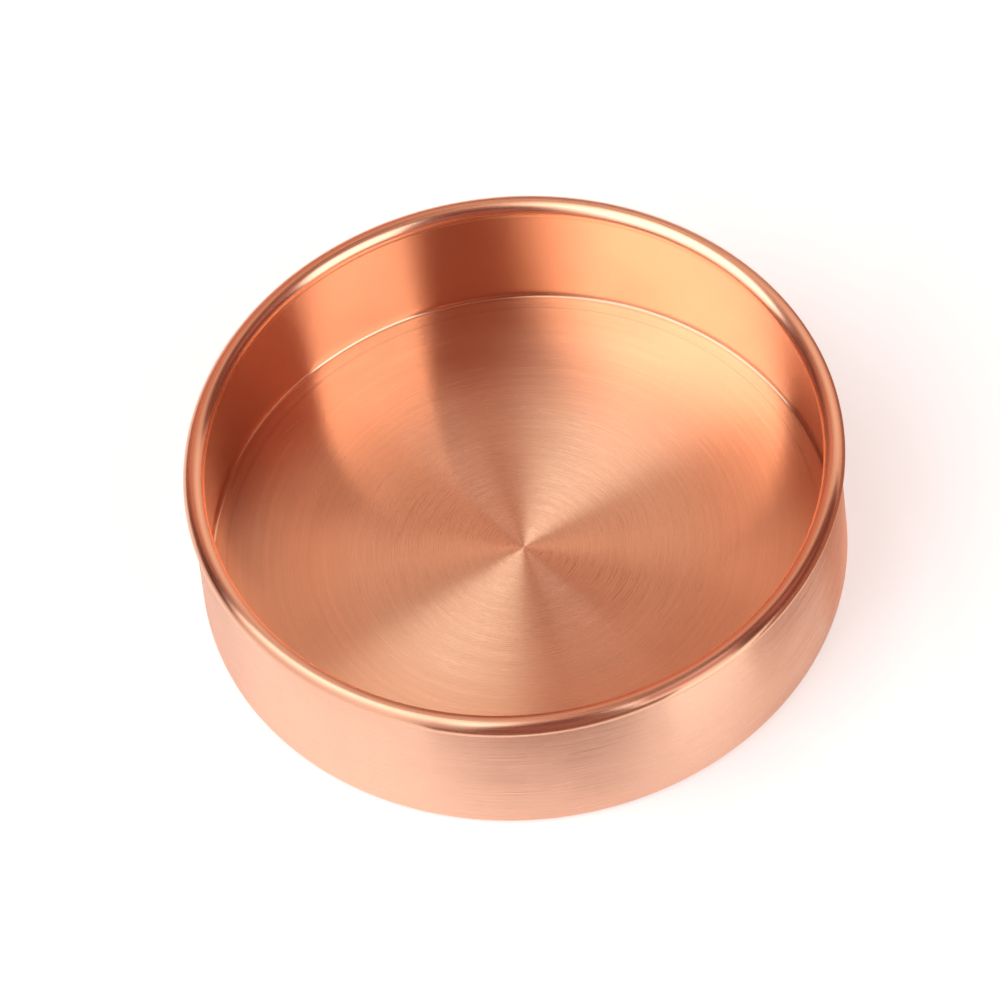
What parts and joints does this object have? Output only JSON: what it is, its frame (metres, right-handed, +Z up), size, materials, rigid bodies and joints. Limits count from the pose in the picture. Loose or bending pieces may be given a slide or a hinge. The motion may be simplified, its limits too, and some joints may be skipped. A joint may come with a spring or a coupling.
{
  "type": "round tray",
  "caption": "Low round copper tray with a straight polished side, a round polished rim bead and a circular-brushed floor.",
  "frame": {"origin": "centre of the tray's base, on the surface it stands on", "axes": "+Z up along the tray's axis of symmetry; +X and +Y are any two level directions, because the tray is round"},
  "size_m": [0.1, 0.1, 0.0262],
  "materials": {
    "outer_shell": "mirror-polished copper sheet",
    "inner_pan": "copper sheet, floor brushed in circles, satin wall",
    "rim_bead": "mirror-polished copper tube",
    "packing_disc": "plain mill-finish steel sheet, hidden"
  },
  "bodies": {
    "root": {"outer_shell": "outer_shell", "inner_pan": "inner_pan", "rim_bead": "rim_bead", "packing_disc": "packing_disc"}
  },
  "joints": []
}
